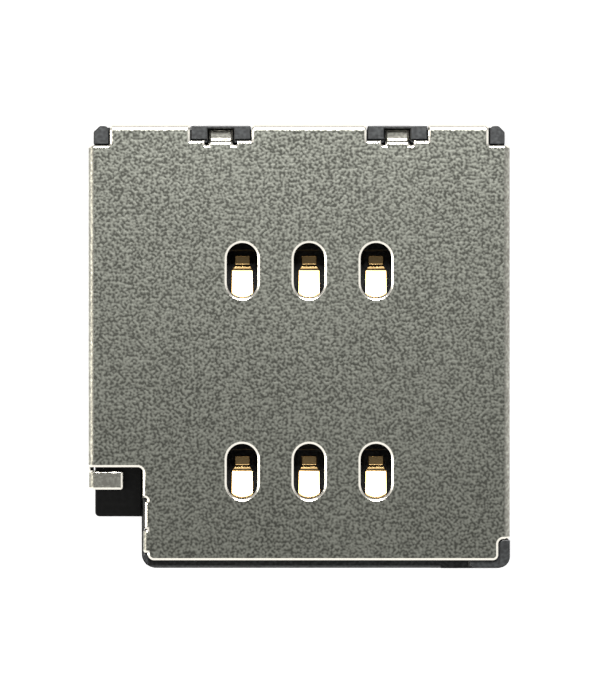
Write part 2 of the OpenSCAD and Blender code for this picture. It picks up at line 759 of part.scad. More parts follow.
// Claw that the card's front edge pushes, with a round end
module claw() {
    translate([0, 0, slider_z0]) linear_extrude(slider_z1 - slider_z0) {
        rect(arm_l, claw_y0, claw_tip_x, claw_y1);
        translate([claw_tip_x, claw_y0 + claw_l / 2]) circle(d = claw_l);
    }
}

// Cam pin: wire with a leg in the pivot hole and a tip in the heart track
module cam_pin() {
    shank_l = pivot_y - tip_y - 2 * pin_bend;
    color("#c9c9c4") translate([channel_x, pivot_y, pin_z]) {
        translate([0, -pin_bend, 0]) rotate([90, 0, 0]) cylinder(d = pin_d, h = shank_l);
        translate([0, -pin_bend, -pin_bend]) pin_corner(0);
        translate([0, -pin_bend - shank_l, -pin_bend]) pin_corner(90);
        translate([0, 0, -pin_bend]) mirror([0, 0, 1])
            cylinder(d = pin_d, h = pin_z - pin_bend - pivot_z - pin_gap);
        translate([0, -2 * pin_bend - shank_l, -pin_bend]) mirror([0, 0, 1])
            cylinder(d = pin_d, h = pin_z - pin_bend - tip_z);
    }
}

// Quarter bend of the pin's wire
module pin_corner(turn) {
    rotate([90, 0, 90]) rotate(turn) rotate_extrude(angle = 90) translate([pin_bend, 0]) circle(d = pin_d);
}

// Height along the spring after a number of turns: the first and last turn lie closed
function spring_rise(turn, wire, turns, length) =
    turn < 1 ? wire * turn :
    turn > turns - 1 ? length - wire * (turns - turn) :
    wire + (length - 2 * wire) * (turn - 1) / (turns - 2);

// Coil spring along +Y from the origin, as a tube swept along its helix
module coil_spring(d, wire, turns, length) {
    sides = 8;
    steps = 12;
    rings = turns * steps;
    coil_r = (d - wire) / 2;
    points = [for (i = [0:rings], k = [0:sides - 1])
        let (a = 360 * i / steps, b = 360 * k / sides, r = coil_r + wire / 2 * cos(b))
        [r * cos(a), wire / 2 + spring_rise(i / steps, wire, turns, length - wire) + wire / 2 * sin(b),
         r * sin(a)]];
    walls = [for (i = [0:rings - 1], k = [0:sides - 1])
        let (next = (k + 1) % sides)
        [i * sides + k, i * sides + next, (i + 1) * sides + next, (i + 1) * sides + k]];
    ends = [[for (k = [sides - 1:-1:0]) k], [for (k = [0:sides - 1]) rings * sides + k]];
    polyhedron(points, concat(walls, ends));
}

// Eject spring between the slider's pocket and the pivot block
module eject_spring() {
    color("#b8b8b2") translate([channel_x, pocket_y + SLOP, spring_z])
        coil_spring(spring_d, spring_wire, spring_turns, block_front - pocket_y - 2 * SLOP);
}

// Card switch: sprung strip whose bump stands in the card's way, and a fixed strip
module switch_spring() {
    color("#d2bf8a") {
        translate([switch_root_x, switch_y0 - switch_hold_l, switch_z]) rotate(90)
            linear_extrude(switch_h) strip(switch_steps, switch_t);
        block([switch_root_x - switch_t, switch_y0 - switch_hold_l, 0],
              [switch_root_x, switch_y0, switch_z + SLOP]);
    }
}

// Fixed strip of the card switch, held at its rear end
module switch_terminal() {
    color("#d2bf8a") {
        block([terminal_x, switch_y1 - bump_end_l, switch_z],
              [terminal_x + switch_t, switch_y1 + switch_hold_l, switch_z + switch_h]);
        block([terminal_x, switch_y1, 0], [terminal_x + switch_t, switch_y1 + switch_hold_l, switch_z + SLOP]);
    }
}

housing();
shell();
for (c = CONTACTS) contact(c[1], c[2]);
slider();
eject_spring();
cam_pin();
switch_spring();
switch_terminal();
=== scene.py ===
# %% [markdown]
# # A card socket, dressed for its portrait
# The part is a board-mounted card socket seen straight from above: a folded steel cover over a black
# moulded housing, with six gilt spring contacts under six slots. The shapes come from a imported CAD
# model, and this lesson gives them the finish of the real thing: broken edges, grain, plating and light.

# %% Load the CAD frame
import bmesh
import bpy
import math
from mathutils import Matrix, Vector
from mathutils.bvhtree import BVHTree


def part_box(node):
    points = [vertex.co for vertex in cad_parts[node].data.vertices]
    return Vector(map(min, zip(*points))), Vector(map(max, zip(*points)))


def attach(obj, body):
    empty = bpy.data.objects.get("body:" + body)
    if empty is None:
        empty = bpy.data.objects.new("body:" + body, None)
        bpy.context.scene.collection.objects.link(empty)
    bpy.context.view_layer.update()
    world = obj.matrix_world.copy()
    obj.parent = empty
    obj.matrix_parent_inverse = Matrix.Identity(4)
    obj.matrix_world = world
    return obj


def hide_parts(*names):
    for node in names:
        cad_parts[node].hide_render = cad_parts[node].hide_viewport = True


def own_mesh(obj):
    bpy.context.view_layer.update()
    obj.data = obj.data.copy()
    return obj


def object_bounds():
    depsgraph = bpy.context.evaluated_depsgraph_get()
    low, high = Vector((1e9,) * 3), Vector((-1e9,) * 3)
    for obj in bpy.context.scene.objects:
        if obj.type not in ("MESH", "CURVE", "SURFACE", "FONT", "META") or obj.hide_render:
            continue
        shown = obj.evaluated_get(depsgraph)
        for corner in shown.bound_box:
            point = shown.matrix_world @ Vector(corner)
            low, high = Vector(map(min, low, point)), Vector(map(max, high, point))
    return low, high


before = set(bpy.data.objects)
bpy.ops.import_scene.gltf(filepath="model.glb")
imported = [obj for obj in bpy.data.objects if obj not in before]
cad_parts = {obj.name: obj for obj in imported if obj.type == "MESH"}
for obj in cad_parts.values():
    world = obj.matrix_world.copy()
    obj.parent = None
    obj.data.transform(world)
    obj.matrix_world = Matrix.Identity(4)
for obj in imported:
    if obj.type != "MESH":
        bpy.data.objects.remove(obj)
cad_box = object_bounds()
scene = bpy.context.scene
MM = 0.001
print("CAD box, mm:", [[round(c / MM, 2) for c in corner] for corner in cad_box])

# %% [markdown]
# ## The camera
# The portrait was taken from straight above with a long lens, so the walls hardly show. A 200 mm lens
# gives that flat look, where an orthographic camera would lose the walls altogether. Blender's sensor
# width belongs to the longer side of the picture, here its height, so the distance follows from how many
# millimetres that side has to show.

# %% Put the camera over the socket
IMAGE_H_PX = 700
PX_PER_MM = 26.37
LENS_MM = 200
SENSOR_MM = 36
CLIP_START, CLIP_END = 0.001, 10
VIEW_X_MM, VIEW_Y_MM = -0.347, 0.793


def place_camera():
    """Looks straight down, with the card's way in at the bottom of the picture."""
    lens = bpy.data.cameras.new("portrait_lens")
    lens.lens = LENS_MM
    lens.sensor_width = SENSOR_MM
    lens.clip_start, lens.clip_end = CLIP_START, CLIP_END
    distance = IMAGE_H_PX / PX_PER_MM * MM * LENS_MM / SENSOR_MM
    camera = bpy.data.objects.new("portrait_camera", lens)
    camera.location = (VIEW_X_MM * MM, VIEW_Y_MM * MM, cad_box[1].z + distance)
    scene.collection.objects.link(camera)
    scene.camera = camera
    return distance


print("camera stands", round(place_camera(), 4), "m above the cover")

# %% [markdown]
# ## Shared grain
# Sheet steel, plating, wire and moulded plastic all carry a fine grain with slow changes of tone under it.
# The effect is a node group, built once and placed in each material with its own numbers. It reads Object
# coordinates, which are metres here, so the scale of the fine noise is simply the number of grains per
# metre. Noise alone stays near the middle of its range, so Map Range stretches it.

# %% Build the grain group
GRAIN_DETAIL = 0.5
GRAIN_LOW, GRAIN_HIGH = 0.35, 0.9
DRIFT_SCALE, DRIFT_DETAIL = 320, 3


def link(tree, out_socket, in_socket):
    tree.links.new(out_socket, in_socket)


def new_group(name, inputs, outputs):
    """Empty shader group with float sockets; inputs give their default value."""
    group = bpy.data.node_groups.new(name, "ShaderNodeTree")
    for label, value in inputs:
        socket = group.interface.new_socket(label, in_out="INPUT", socket_type="NodeSocketFloat")
        socket.default_value = value
    for label in outputs:
        group.interface.new_socket(label, in_out="OUTPUT", socket_type="NodeSocketFloat")
    return group, group.nodes.new("NodeGroupInput"), group.nodes.new("NodeGroupOutput")


def make_grain_group():
    """Fine grain with a slow drift under it: Tone runs from 0 to 1, Height is for a Bump node."""
    group, given, made = new_group("fine_grain", [("Grains", 9000), ("Drift", 0.25)], ["Tone", "Height"])
    where = group.nodes.new("ShaderNodeTexCoord")
    fine = group.nodes.new("ShaderNodeTexNoise")
    fine.inputs["Detail"].default_value = GRAIN_DETAIL
    slow = group.nodes.new("ShaderNodeTexNoise")
    slow.inputs["Scale"].default_value = DRIFT_SCALE
    slow.inputs["Detail"].default_value = DRIFT_DETAIL
    stretch = group.nodes.new("ShaderNodeMapRange")
    stretch.inputs["From Min"].default_value = GRAIN_LOW
    stretch.inputs["From Max"].default_value = GRAIN_HIGH
    blend = group.nodes.new("ShaderNodeMix")
    for noise in (fine, slow):
        link(group, where.outputs["Object"], noise.inputs["Vector"])
    link(group, given.outputs["Grains"], fine.inputs["Scale"])
    link(group, fine.outputs["Fac"], stretch.inputs["Value"])
    link(group, given.outputs["Drift"], blend.inputs["Factor"])
    link(group, stretch.outputs["Result"], blend.inputs["A"])
    link(group, slow.outputs["Fac"], blend.inputs["B"])
    link(group, blend.outputs["Result"], made.inputs["Tone"])
    link(group, stretch.outputs["Result"], made.inputs["Height"])
    return group


grain_group = make_grain_group()
print("shared group:", grain_group.name, "with", len(grain_group.nodes), "nodes")

# %% [markdown]
# ## Shared edge mask: wear and painted light
# All these materials change tone on marked edges. On the cover's rims that is partly real burnish and
# partly a painted highlight, on its bends and lowered tabs a painted sheen, and on the broken edges of the
# housing and the contacts a painted shade. The second group makes a mask of those places. It reads a face
# attribute called rim, which each piece gets further down, and takes a soft noise off it, so that the marks
# are uneven.

# %% Build the edge mask group


def make_wear_and_painted_light_group():
    """Mask of the marked edge faces, for wear and painted light; patchy where Patch is high."""
    group, given, made = new_group("edge_wear_and_painted_light", [("Patch", 0.3), ("Patches", 1500)], ["Rub"])
    rim = group.nodes.new("ShaderNodeAttribute")
    rim.attribute_name = "rim"
    where = group.nodes.new("ShaderNodeTexCoord")
    noise = group.nodes.new("ShaderNodeTexNoise")
    worn = group.nodes.new("ShaderNodeMath")
    worn.operation = "MULTIPLY"
    kept = group.nodes.new("ShaderNodeMath")
    kept.operation = "MULTIPLY_ADD"
    kept.inputs[1].default_value = -1
    kept.use_clamp = True
    link(group, where.outputs["Object"], noise.inputs["Vector"])
    link(group, given.outputs["Patches"], noise.inputs["Scale"])
    link(group, noise.outputs["Fac"], worn.inputs[0])
    link(group, given.outputs["Patch"], worn.inputs[1])
    link(group, worn.outputs["Value"], kept.inputs[0])
    link(group, rim.outputs["Fac"], kept.inputs[2])
    link(group, kept.outputs["Value"], made.inputs["Rub"])
    return group


wear_and_painted_light_group = make_wear_and_painted_light_group()
print("shared group:", wear_and_painted_light_group.name, "with", len(wear_and_painted_light_group.nodes), "nodes")

# %% [markdown]
# ## One recipe, and the cover's steel
# Each finish mixes a dark and a light tone by the grain, then goes over to an edge tone where the edge mask
# says so, which carries the wear and painted light told above. Roughness follows the grain as well, and a
# little bump breaks up the highlights. Five separate materials would say the same thing five times, so one
# function builds them all. Only what varies over the surface reaches the shader by a link. What is the same
# all over, such as being a metal, is set on the shader's own socket. The first finish is the cover's:
# stainless sheet, blasted to a matt grey speckle, and almost white on its rims and bends, partly from real
# burnish and partly as a painted highlight.

# %% Write the recipe
EDGE_ROUGH = 0.2
BUMP_DEPTH = 0.01 * MM


def mix_colors(tree, factor, first, second):
    """Colour mix whose factor is a socket, and whose colours are sockets or plain colours."""
    mix = tree.nodes.new("ShaderNodeMix")
    mix.data_type = "RGBA"
    link(tree, factor, mix.inputs["Factor"])
    for label, value in (("A", first), ("B", second)):
        socket = next(s for s in mix.inputs if s.name == label and s.type == "RGBA")
        if isinstance(value, bpy.types.NodeSocket):
            link(tree, value, socket)
        else:
            socket.default_value = (*value, 1)
    return next(s for s in mix.outputs if s.type == "RGBA")


def make_finish(name, dark, light, edge, rough, metallic, grains, drift, bump, patch, shine=0.5):
    """Principled finish with grain and an edge tone for wear and painted light; rough is the roughness at dark
    and at light grain.
    """
    finish = bpy.data.materials.new(name)
    finish.use_nodes = True
    tree = finish.node_tree
    shader = tree.nodes["Principled BSDF"]
    grain = tree.nodes.new("ShaderNodeGroup")
    grain.node_tree = grain_group
    grain.inputs["Grains"].default_value = grains
    grain.inputs["Drift"].default_value = drift
    wear_and_painted_light = tree.nodes.new("ShaderNodeGroup")
    wear_and_painted_light.node_tree = wear_and_painted_light_group
    wear_and_painted_light.inputs["Patch"].default_value = patch
    body_tone = mix_colors(tree, grain.outputs["Tone"], dark, light)
    # Edge tone: painted highlight with some real burnish on the cover, painted shade on housing and contacts.
    tone = mix_colors(tree, wear_and_painted_light.outputs["Rub"], body_tone, edge)
    gloss = tree.nodes.new("ShaderNodeMapRange")
    gloss.inputs["To Min"].default_value, gloss.inputs["To Max"].default_value = rough
    polish = tree.nodes.new("ShaderNodeMix")
    polish.inputs["B"].default_value = EDGE_ROUGH
    relief = tree.nodes.new("ShaderNodeBump")
    relief.inputs["Strength"].default_value = bump
    relief.inputs["Distance"].default_value = BUMP_DEPTH
    link(tree, tone, shader.inputs["Base Color"])
    link(tree, grain.outputs["Tone"], gloss.inputs["Value"])
    link(tree, wear_and_painted_light.outputs["Rub"], polish.inputs["Factor"])
    link(tree, gloss.outputs["Result"], polish.inputs["A"])
    link(tree, polish.outputs["Result"], shader.inputs["Roughness"])
    link(tree, grain.outputs["Height"], relief.inputs["Height"])
    link(tree, relief.outputs["Normal"], shader.inputs["Normal"])
    shader.inputs["Metallic"].default_value = metallic
    shader.inputs["Specular IOR Level"].default_value = shine
    return finish


print("the recipe takes", grain_group.name, "and", wear_and_painted_light_group.name)

# %% Make the blasted steel
# The near-white edge tone is partly real burnish and partly a painted highlight on the rims and bends.
FINISHES = {"shell_steel": make_finish(
    "blasted_steel", dark=(0.058, 0.059, 0.05), light=(0.5, 0.512, 0.443), edge=(0.97, 0.93, 0.83),
    rough=(0.5, 0.38), metallic=1.0, grains=9800, drift=0.1, bump=0.35, patch=0.1)}
print("finish:", FINISHES["shell_steel"].name)

# %% [markdown]
# ## Gilt, black plastic and wire
# The contacts are plated strip, smooth and nearly even, with hardly any bump, and their edge tone is a
# darker brown, a painted shade on their broken edges. The housing is a black moulding that shows the fine
# texture of its mould, and the darker tone of its edges is a painted shade. The slider is a smoother black.
# The spring and the pin are drawn wire, bright and finely grained. They differ from the steel only in
# numbers, so the recipe serves again.

# %% Make the other finishes
# The gilt's darker edge tone is a painted shade on the contacts' broken edges.
FINISHES["contact_gold"] = make_finish(
    "gilt_strip", dark=(0.82, 0.54, 0.22), light=(0.96, 0.7, 0.36), edge=(0.8, 0.46, 0.16),
    rough=(0.2, 0.15), metallic=1.0, grains=5000, drift=0.6, bump=0.05, patch=0.2)
# The moulding's darker edge tone is a painted shade on its bevelled edges.
FINISHES["housing_plastic"] = make_finish(
    "black_moulding", dark=(0.003, 0.0035, 0.004), light=(0.056, 0.06, 0.061), edge=(0.006, 0.0065, 0.007),
    rough=(0.55, 0.42), metallic=0.0, grains=9000, drift=0.2, bump=0.4, patch=0.2)
FINISHES["slider_plastic"] = make_finish(
    "black_slide_moulding", dark=(0.009, 0.009, 0.009), light=(0.022, 0.022, 0.022), edge=(0.03, 0.03, 0.034),
    rough=(0.5, 0.38), metallic=0.0, grains=6000, drift=0.5, bump=0.12, patch=0.6, shine=0.15)
FINISHES["spring_steel"] = make_finish(
    "drawn_wire", dark=(0.42, 0.42, 0.4), light=(0.68, 0.68, 0.66), edge=(0.8, 0.8, 0.78),
    rough=(0.34, 0.24), metallic=1.0, grains=12000, drift=0.4, bump=0.08, patch=0.3)
print("finishes:", ", ".join(f.name for f in FINISHES.values()))

# %% [markdown]
# ## A working copy of each solid
# A CAD solid comes as loose triangles, which no edge tool can work on. Each dressed piece starts as a copy
# of its solid: the triangles are welded, and those of one flat area become one face. A remesh would be
# quicker to set up, but it would shift the corners, and this way each of them stays where the CAD put it.
# The first copy is the cover, which is folded from sheet steel 0.15 mm thick.

# %% Copy the cover's solid
WELD = 1e-7
FLAT_ANGLE = math.radians(0.3)


def welded_copy(node, name):
    """New object with the node's mesh, welded, with flat areas as single faces."""
    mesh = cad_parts[node].data.copy()
    mesh.name = name
    mesh.materials.clear()
    if "custom_normal" in mesh.attributes:
        mesh.attributes.remove(mesh.attributes["custom_normal"])
    shape = bmesh.new()
    shape.from_mesh(mesh)
    bmesh.ops.remove_doubles(shape, verts=shape.verts, dist=WELD)
    bmesh.ops.dissolve_limit(shape, angle_limit=FLAT_ANGLE, verts=shape.verts, edges=shape.edges)
    for face in shape.faces:
        face.smooth = True
        face.material_index = 0
    shape.to_mesh(mesh)
    shape.free()
    piece = bpy.data.objects.new(name, mesh)
    scene.collection.objects.link(piece)
    return piece


def give_finish(piece, slot):
    """Two slots with one finish: rolled and bevelled faces go to the second, where they are found again."""
    piece.data.materials.clear()
    for _ in range(2):
        piece.data.materials.append(FINISHES[slot])


cover = welded_copy("shell", "shell_cover")
give_finish(cover, "shell_steel")
print(cover.name, "copied with", len(cover.data.polygons), "faces")

# %% [markdown]
# ## The cover's rolled rim
# A punch drags the sheet over before it cuts, so each cut edge of the real cover ends in a small curve that
# shines as a bright line. A Bevel modifier would round the edges too, but it throws out spikes at the narrow
# tabs and relief cuts, so the rim is made in three steps of its own. First the outer side of the sheet is
# found: all faces that are reached from the large top face without going over a sharp edge.

# %% Find the outer side of the sheet
SHARP_ANGLE = math.radians(42)


def is_sharp(edge):
    return len(edge.link_faces) == 2 and edge.calc_face_angle(0) > SHARP_ANGLE


def skin_of(shape):
    """Outer side of a folded sheet: the faces reached from its largest face without a sharp edge."""
    waiting = [max(shape.faces, key=lambda face: face.calc_area() * face.normal.z)]
    skin = set(waiting)
    while waiting:
        for edge in waiting.pop().edges:
            fresh = [face for face in edge.link_faces if face not in skin and not is_sharp(edge)]
            skin.update(fresh)
            waiting += fresh
    return skin


def outline_of(skin):
    """Edges between the skin and the cut faces, sorted so that every run works in the same order."""
    cuts = {edge for face in skin for edge in face.edges if not skin.issuperset(edge.link_faces)}
    return sorted(cuts, key=lambda edge: edge.index)


sheet = bmesh.new()
sheet.from_mesh(cover.data)
skin = skin_of(sheet)
print("outer side:", len(skin), "faces within", len(outline_of(skin)), "cut edges")

# %% [markdown]
# Second, the outer side is inset by the rim's width. That leaves a ring of faces along each cut edge, and
# the edges that cross the ring are called spokes here. Long edges are first split near their ends, so that
# a tight corner can't pull a whole edge askew.

# %% Inset a ring along the cut edges
RIM_WIDTH = 0.08 * MM
LONG_EDGE, CORNER_EDGE = 5 * RIM_WIDTH, 1.5 * RIM_WIDTH


def inset_skin(shape, skin):
    """Insets the skin; gives the rim's edges and, for each rim vertex, its spoke and the spoke's inner end."""
    for edge in outline_of(skin):
        if edge.calc_length() > LONG_EDGE:
            for vert in list(edge.verts):
                bmesh.utils.edge_split(edge, vert, CORNER_EDGE / edge.calc_length())
    faces = sorted(skin, key=lambda face: face.index)
    ring = bmesh.ops.inset_region(shape, faces=faces, thickness=RIM_WIDTH, use_boundary=True,
                                  use_even_offset=True)["faces"]
    rim, spokes = [], {}
    for face in ring:
        face.material_index = 1
        for edge in face.edges:
            inner = [vert for vert in edge.verts if not skin.isdisjoint(vert.link_faces)]
            if len(inner) == 1:
                spokes[edge.other_vert(inner[0])] = (edge, inner[0])
            else:
                edge.smooth = False
                if not inner:
                    rim.append(edge)
    return rim, spokes


rim, spokes = inset_skin(sheet, skin)
print("ring of", len(spokes), "spokes")

# %% [markdown]
# Where two cuts lie close together the inner outline would turn round on itself. So its corners are drawn
# back, a little at each pass, until none of its edges does.

# %% Draw back the tight corners
FIT_PASSES = 30
FIT_STEP = 0.85
KEPT_LENGTH = 0.2


def fitting_reach(rim, shift):
    """Share of its shift that each outline vertex can take before an edge of the outline turns round."""
    reach = dict.fromkeys(shift, 1.0)
    for _ in range(FIT_PASSES):
        for edge in rim:
            first, second = edge.verts
            side = second.co - first.co
            inset = side + shift[second] * reach[second] - shift[first] * reach[first]
            if inset.dot(side) < KEPT_LENGTH * side.length_squared:
                reach[first] *= FIT_STEP
                reach[second] *= FIT_STEP
    return reach


shift = {outer: inner.co - outer.co for outer, (spoke, inner) in spokes.items()}
reach = fitting_reach(rim, shift)
print(sum(share < 1 for share in reach.values()), "corners drawn back")

# %% [markdown]
# Third, the ring is rolled over. The inner outline goes to where it fits, and the flat top is filled again
# inside it.

# %% Fill the top inside its new outline
ROLL_TILTS = [math.radians(angle) for angle in (22, 30, 38)]


def draw_inner_outline(skin, spokes, shift, reach):
    """Moves the spokes' inner ends to where they fit; gives how far a ring tilted by 45 degrees sinks."""
    sink = {}
    for outer, (spoke, inner) in spokes.items():
        normal = sum((face.normal for face in inner.link_faces if face in skin), Vector()).normalized()
        sink[outer] = -normal * reach[outer] * RIM_WIDTH / len(ROLL_TILTS)
        inner.co = outer.co + shift[outer] * reach[outer]
    return sink


def refill(shape, skin):
    """Takes out the skin's flat top and fills its new outline."""
    top = max(vert.co.z for face in skin for vert in face.verts)
    flat = [face for face in skin if min(vert.co.z for vert in face.verts) > top - WELD]
    bmesh.ops.delete(shape, geom=flat, context="FACES")
    gap = [edge for edge in shape.edges if edge.is_boundary]
    made = bmesh.ops.triangle_fill(shape, use_beauty=True, edges=gap, normal=(0, 0, 1))["geom"]
    for face in filter(lambda item: isinstance(item, bmesh.types.BMFace), made):
        face.smooth = True
    seams = [item for item in made if isinstance(item, bmesh.types.BMEdge)]
    bmesh.ops.dissolve_limit(shape, angle_limit=FLAT_ANGLE, edges=seams)


sink = draw_inner_outline(skin, spokes, shift, reach)
refill(sheet, skin)
print("filled again, the sheet has", len(sheet.faces), "faces")

# %% [markdown]
# Then the spokes are cut, which makes several rings of the one, and each ring is tipped further down than
# the ring inside it, so that the rim curves over.

# %% Roll the rim over


def tip_rings(shape, spokes, sink):
    """Cuts the spokes into as many lengths as there are tilts, and lowers the cuts and the outer ends."""
    moves = []
    for left in range(len(ROLL_TILTS), 0, -1):
        drop = sum(math.tan(tilt) for tilt in ROLL_TILTS[:left])
        fresh = []
        for outer, (spoke, inner) in spokes.items():
            start = spoke.other_vert(inner)
            moves.append((start, sink[outer] * drop))
            if left > 1:
                fresh.append(bmesh.utils.edge_split(spoke, start, 1 / left)[1])
        bmesh.ops.connect_verts(shape, verts=fresh)
    for vert, move in moves:
        vert.co += move


tip_rings(sheet, spokes, sink)
sheet.to_mesh(cover.data)
sheet.free()
print(cover.name, "has a rim of", len(ROLL_TILTS), "rings, and", len(cover.data.polygons), "faces")

# %% [markdown]
# ## Flat faces that stay flat
# Smooth shading blends the normals of all faces round a vertex, so a large face looks swollen beside a
# narrow rim. The Weighted Normal modifier lets the large face win. It takes the faces of a very small mesh
# for equal, so the mesh is scaled up to millimetres for it, and back to metres afterwards.

# %% Weigh the cover's normals
NORMAL_WEIGHT = 100


def apply_modifiers(piece):
    """Turns what the modifiers make into the piece's own plain mesh."""
    bpy.context.view_layer.update()
    depsgraph = bpy.context.evaluated_depsgraph_get()
    mesh = bpy.data.meshes.new_from_object(piece.evaluated_get(depsgraph), depsgraph=depsgraph)
    piece.modifiers.clear()
    piece.data = mesh
    mesh.name = piece.name


def flatten_normals(piece):
    """Normals that follow the larger face at each vertex."""
    smooth = piece.modifiers.new("flat_faces", "WEIGHTED_NORMAL")
    smooth.weight = NORMAL_WEIGHT
    smooth.keep_sharp = True
    piece.data.transform(Matrix.Scale(1 / MM, 4))
    apply_modifiers(piece)
    piece.data.transform(Matrix.Scale(MM, 4))


flatten_normals(cover)
print(cover.name, "has custom normals:", cover.data.has_custom_normals)

# %% [markdown]
# ## Where the rims are marked, and the painted sheen
# The rolled rims of a real cover are bright all over; their near-white tone is partly real burnish and
# partly a painted highlight. The bends and the tabs pressed below the plate get a share of that tone as a
# painted sheen, strongest on faces that turn to the rear. A pointiness mask would find all edges alike,
# so the faces are marked one by one instead: rim is 1 on the rolled faces, a share of it on bends and
# lowered tabs, and 0 elsewhere. Then the piece is handed over: it rides on its body, in place of its CAD
# node.

# %% Mark the rims and hand the cover over
BEND_LOW, BEND_HIGH = 0.03, 0.98
# Painted sheen on the bends and lowered tabs, and how much more a rear-facing face gets.
BEND_PAINTED_SHEEN = 0.25
REAR_PAINTED_SHEEN = 3.0
STEP_DOWN = 0.1 * MM


def mark_rims(piece, painted_sheen=0.0):
    """Rim is 1 on faces of the second slot and the painted sheen on bends and lowered tabs; one slot is left.
    """
    marks = piece.data.attributes.new("rim", "FLOAT", "FACE")
    plate_low = max(vertex.co.z for vertex in piece.data.vertices) - STEP_DOWN
    for polygon, mark in zip(piece.data.polygons, marks.data):
        slope = polygon.normal.z
        bent = slope > BEND_LOW and (slope < BEND_HIGH or polygon.center.z <= plate_low)
        # Painted sheen: a share of the edge tone, up to four times as much where a face turns to the rear.
        shine = painted_sheen * (1 + REAR_PAINTED_SHEEN * max(polygon.normal.y, 0))
        mark.value = 1 if polygon.material_index else shine * bent
        polygon.material_index = 0
    piece.data.materials.pop()


def hand_over(piece, body, slot, *nodes):
    """The piece rides on its body, in place of the CAD nodes it stands for."""
    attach(piece, body)
    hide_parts(*nodes)
    print(piece.name, "on", body, "with", len(piece.data.polygons), "faces")


mark_rims(cover, BEND_PAINTED_SHEEN)
hand_over(cover, "base", "shell_steel", "shell")

# %% [markdown]
# ## The housing's edges
# The housing is moulded, and a mould has small radii, so the Bevel modifier breaks its edges. It can't tell
# where a ledge is too narrow, so bevel weights lead it: 1 for a sharp edge whose neighbours run on past the
# bevel's width, and 0 where they don't or where they end in a narrow tip. To find out, the outline of the
# surface beside the edge is walked both ways until it is far enough away.

# %% Tell whether an edge has room
MOULD_EDGE = 0.03 * MM
ROOM = 1.4
WALK = 16
TIP_ANGLE = math.radians(25)


def follow(loop, onward):
    """Next loop along the sharp outline, going over the soft edges between faces of one surface."""
    step = loop.link_loop_next if onward else loop.link_loop_prev
    while not is_sharp(step.edge) and step.edge != loop.edge:
        step = step.link_loop_radial_next
        step = step.link_loop_next if onward else step.link_loop_prev
    return step


def has_room(edge, width):
    """True if the surfaces beside the edge run on past the width of its bevel and end in no narrow tip."""
    start = edge.verts[0].co
    along = (edge.verts[1].co - start).normalized()
    for first in edge.link_loops:
        for onward in (True, False):
            loop = first
            for step in range(WALK):
                loop = follow(loop, onward)
                ends = loop.vert, loop.link_loop_next.vert
                near, far = ends if onward else reversed(ends)
                if step == 0 and loop.edge != edge:
                    back = edge.other_vert(near).co - near.co
                    if back.angle(far.co - near.co, math.pi) < TIP_ANGLE:
                        return False
                if (far.co - start).cross(along).length > ROOM * width:
                    break
            else:
                return False
    return True


print("beside a bevelled edge there is at least", round(ROOM * MOULD_EDGE / MM, 3), "mm of surface")

# %% [markdown]
# A bevel can't end halfway along a smooth run of edges. So an edge that goes on from a tight one with hardly
# a turn is left out with it.

# %% Weigh the housing's edges
TURN_ANGLE = math.radians(35)


def run_on(edge):
    """Sharp edges that go on from this one with hardly a turn."""
    for vert in edge.verts:
        along = vert.co - edge.other_vert(vert).co
        for other in vert.link_edges:
            if other != edge and is_sharp(other):
                if along.angle(other.other_vert(vert).co - vert.co, 0) < TURN_ANGLE:
                    yield other


def weigh_edges(piece, width):
    """Gives the sharp edges that have room a bevel weight, the same all along a smooth run of edges."""
    shape = bmesh.new()
    shape.from_mesh(piece.data)
    weight = shape.edges.layers.float.new("bevel_weight_edge")
    sharp = [edge for edge in shape.edges if is_sharp(edge)]
    tight = [edge for edge in sharp if not has_room(edge, width)]
    left_out = set(tight)
    while tight:
        fresh = [edge for edge in run_on(tight.pop()) if edge not in left_out]
        left_out.update(fresh)
        tight += fresh
    for edge in sharp:
        edge[weight] = edge not in left_out
    shape.to_mesh(piece.data)
    shape.free()
    print(piece.name, "has", len(sharp), "sharp edges,", len(left_out), "without room for a bevel")


moulding = welded_copy("housing", "housing_moulding")
give_finish(moulding, "housing_plastic")
weigh_edges(moulding, MOULD_EDGE)

# %% [markdown]
# Where a bevel runs out it can still throw a vertex past the solid. A search tree of the solid's faces
# tells how far each new vertex is from the surface, and those that strayed are welded to the nearest
# vertex that didn't.

# %% Bevel the housing
BEVEL_STEPS = 2
STRAY = 0.5


def weld_strays(mesh, solid, low, high, reach):
    """Welds each vertex that left the box or the solid's surface to the nearest one that didn't."""
    shape = bmesh.new()
    shape.from_mesh(mesh)
    kept = {vert for vert in shape.verts if solid.find_nearest(vert.co)[3] < reach
            and all(low[i] - WELD < vert.co[i] < high[i] + WELD for i in range(3))}
    targets = {vert: min(kept, key=lambda other: (other.co - vert.co).length)
               for vert in shape.verts if vert not in kept}
    bmesh.ops.weld_verts(shape, targetmap=targets)
    shape.to_mesh(mesh)
    shape.free()
    return len(targets)


def bevel_edges(piece, width):
    """Bevels the weighted edges into the second slot; what the bevel throws out is welded back."""
    shape = bmesh.new()
    shape.from_mesh(piece.data)
    solid = BVHTree.FromBMesh(shape)
    low, high = [[pick(vert.co[i] for vert in shape.verts) for i in range(3)] for pick in (min, max)]
    shape.free()
    bevel = piece.modifiers.new("broken_edges", "BEVEL")
    bevel.width = width
    bevel.segments = BEVEL_STEPS
    bevel.limit_method = "WEIGHT"
    bevel.use_clamp_overlap = False
    bevel.material = 1
    apply_modifiers(piece)
    strays = weld_strays(piece.data, solid, low, high, STRAY * width)
    print(piece.name, "bevelled,", strays, "stray vertices welded")


bevel_edges(moulding, MOULD_EDGE)
flatten_normals(moulding)
mark_rims(moulding)
hand_over(moulding, "base", "housing_plastic", "housing")

# %% [markdown]
# ## The slider
# The slider is a moulded bar whose front end shows in the notch beside the cover. It goes through the same
# steps as the housing, and the strips further down do too, so the steps become one function here.

# %% Dress the slider


